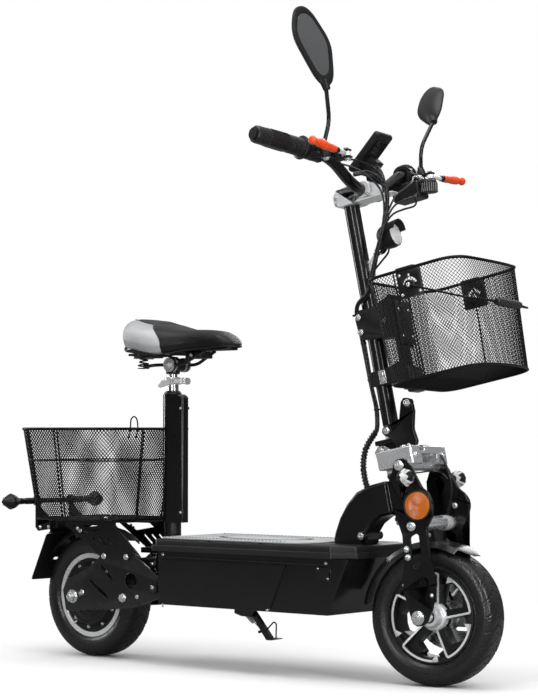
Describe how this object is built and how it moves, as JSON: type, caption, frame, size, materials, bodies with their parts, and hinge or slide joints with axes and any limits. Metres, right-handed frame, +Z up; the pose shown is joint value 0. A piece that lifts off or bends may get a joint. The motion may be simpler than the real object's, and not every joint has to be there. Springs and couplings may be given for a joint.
{
  "type": "electric scooter",
  "caption": "Seated electric scooter: folding stem, footboard over the battery tub, sprung rear swing arm, hub motor, saddle on a post, wire baskets front and rear, mirrors and turn signals.",
  "frame": {"origin": "on the ground, under the middle of the outline's box", "axes": "+X forward, +Y to the rider's left, +Z up; the steering rests 8 degrees to the left"},
  "size_m": [1.1652, 0.6621, 1.2509],
  "materials": {
    "black_paint": "semi-gloss black powder coat",
    "black_satin": "satin black",
    "coated_wire": "black dipped wire",
    "silver_alloy": "bead-blasted silver",
    "zinc_steel": "zinc plated",
    "chrome": "bright chrome",
    "black_plastic": "grained",
    "gloss_plastic": "gloss black",
    "rubber": "matt",
    "tyre": "matt black",
    "deck_grip": "light grey grip sheet",
    "saddle_leather": "silver and black synthetic leather",
    "signal_lens": "clear faceted lens"
  },
  "bodies": {
    "chassis": {"deck_box": "black_paint", "deck_cover": "black_satin", "deck_mat": "deck_grip", "battery_pack": "black_plastic", "motor_controller": "silver_alloy", "gooseneck": "black_paint", "seat_tube": "black_paint", "seat_tube_cover": "gloss_plastic", "seat_sleeve": "chrome", "shock_damper": "zinc_steel", "shock_spring": "black_paint", "wiring_loop": "black_plastic", "kickstand_spring": "zinc_steel"},
    "clamp_lever": {"seat_clamp_lever": "zinc_steel"},
    "port_cover": {"charge_port_cover": "rubber"},
    "stand": {"kickstand": "black_paint"},
    "seat": {"seat_post": "chrome", "saddle_frame": "black_satin", "saddle_cushion": "saddle_leather"},
    "swing": {"swing_plate_right": "black_paint", "swing_plate_left": "black_paint", "swing_crossbar": "black_paint", "rear_axle": "zinc_steel", "rear_rack": "black_satin", "rear_fender": "black_plastic", "rear_signal_right": "signal_lens", "rear_signal_left": "signal_lens", "rear_basket": "coated_wire"},
    "rear_wheel": {"rear_hub_motor": "silver_alloy", "rear_tyre": "tyre"},
    "fork": {"fork_crown": "silver_alloy", "fork_plate_right": "black_paint", "fork_plate_left": "black_paint", "front_axle": "zinc_steel", "front_fender": "black_plastic", "front_brake_caliper": "black_satin", "front_signal_right": "signal_lens", "front_signal_left": "signal_lens"},
    "front_wheel_body": {"front_wheel": "black_satin", "front_tyre": "tyre", "front_brake_disc": "zinc_steel"},
    "stem": {"stem_tube": "black_paint", "handlebar": "black_paint", "bar_clamp": "silver_alloy", "grip_left": "rubber", "control_right": "black_plastic", "control_left": "black_plastic", "display_panel": "gloss_plastic", "stem_cables": "rubber", "basket_bracket": "black_paint", "front_basket": "coated_wire"},
    "fold_lever_body": {"fold_lever": "black_paint"},
    "throttle": {"throttle_grip": "rubber"},
    "horn": {"horn_button": "rubber"},
    "lever_right": {"brake_lever_right": "black_satin"},
    "lever_left": {"brake_lever_left": "black_satin"},
    "mirror_right_body": {"mirror_right": "gloss_plastic"},
    "mirror_left_body": {"mirror_left": "gloss_plastic"},
    "lamp": {"headlight": "black_plastic"},
    "handle": {"basket_handle": "zinc_steel"}
  },
  "joints": [
    {"name": "steering", "type": "hinge", "parent": "chassis", "child": "fork", "pos_m": [0.3446, -0.02, 0.4203], "axis": [-0.2147, 0, 0.9767], "range_deg": [-50, 34]},
    {"name": "front_wheel_spin", "type": "hinge", "parent": "fork", "child": "front_wheel_body", "pos_m": [0.43468, -0.01647, 0.12772], "axis": [-0.1359, 0.9903, -0.0299], "continuous": true},
    {"name": "stem_fold", "type": "hinge", "parent": "fork", "child": "stem", "pos_m": [0.32225, -0.02278, 0.42972], "axis": [0.1359, -0.9903, 0.0299], "range_deg": [0, 33]},
    {"name": "fold_lever_turn", "type": "hinge", "parent": "stem", "child": "fold_lever_body", "pos_m": [0.34058, -0.04377, 0.47061], "axis": [0.1359, -0.9903, 0.0299], "range_deg": [0, 60]},
    {"name": "throttle_twist", "type": "hinge", "parent": "stem", "child": "throttle", "pos_m": [0.27348, -0.21428, 0.99141], "axis": [-0.2063, -0.9673, 0.1476], "range_deg": [0, 70], "stiffness_Nm_per_rad": 0.15},
    {"name": "horn_press", "type": "slide", "parent": "stem", "child": "horn", "axis": [0.9672, 0.1392, 0.2126], "range_m": [0, 0.003], "stiffness_N_per_m": 200},
    {"name": "brake_right_pull", "type": "hinge", "parent": "stem", "child": "lever_right", "pos_m": [0.34263, -0.17003, 0.97891], "axis": [0.2147, 0, -0.9767], "range_deg": [0, 25], "stiffness_Nm_per_rad": 1.5, "springref_deg": -5.73},
    {"name": "brake_left_pull", "type": "hinge", "parent": "stem", "child": "lever_left", "pos_m": [0.29777, 0.15675, 0.96905], "axis": [-0.2147, 0, 0.9767], "range_deg": [0, 25], "stiffness_Nm_per_rad": 1.5, "springref_deg": -5.73},
    {"name": "mirror_right_turn", "type": "hinge", "parent": "stem", "child": "mirror_right_body", "pos_m": [0.31401, -0.19897, 0.98695], "axis": [-0.2147, 0, 0.9767], "range_deg": [-40, 40]},
    {"name": "mirror_left_turn", "type": "hinge", "parent": "stem", "child": "mirror_left_body", "pos_m": [0.26236, 0.17734, 0.97559], "axis": [-0.2147, 0, 0.9767], "range_deg": [-40, 40]},
    {"name": "headlight_tilt", "type": "hinge", "parent": "stem", "child": "lamp", "pos_m": [0.30008, -0.01429, 0.81187], "axis": [-0.1359, 0.9903, -0.0299], "range_deg": [-20, 20]},
    {"name": "basket_handle_swing", "type": "hinge", "parent": "stem", "child": "handle", "pos_m": [0.43739, 0.00213, 0.73149], "axis": [0.1359, -0.9903, 0.0299], "range_deg": [0, 120]},
    {"name": "swing_arm", "type": "hinge", "parent": "chassis", "child": "swing", "pos_m": [-0.2001, -0.02, 0.1565], "axis": [0, 1, 0], "range_deg": [-2, 3], "stiffness_Nm_per_rad": 2000, "deforming": ["shock_spring"]},
    {"name": "rear_wheel_spin", "type": "hinge", "parent": "swing", "child": "rear_wheel", "pos_m": [-0.4301, -0.02, 0.1275], "axis": [0, 1, 0], "continuous": true},
    {"name": "seat_slide", "type": "slide", "parent": "chassis", "child": "seat", "axis": [0, 0, 1], "range_m": [0, 0.12]},
    {"name": "clamp_lever_turn", "type": "hinge", "parent": "chassis", "child": "clamp_lever", "pos_m": [-0.2006, -0.02, 0.572], "axis": [0, -1, 0], "range_deg": [0, 100]},
    {"name": "kickstand_swing", "type": "hinge", "parent": "chassis", "child": "stand", "pos_m": [-0.0511, 0.028, 0.1075], "axis": [0, 1, 0], "range_deg": [0, 120]},
    {"name": "port_cover_swing", "type": "hinge", "parent": "chassis", "child": "port_cover", "pos_m": [0.2484, -0.1203, 0.2155], "axis": [-1, 0, 0], "range_deg": [0, 110]}
  ]
}
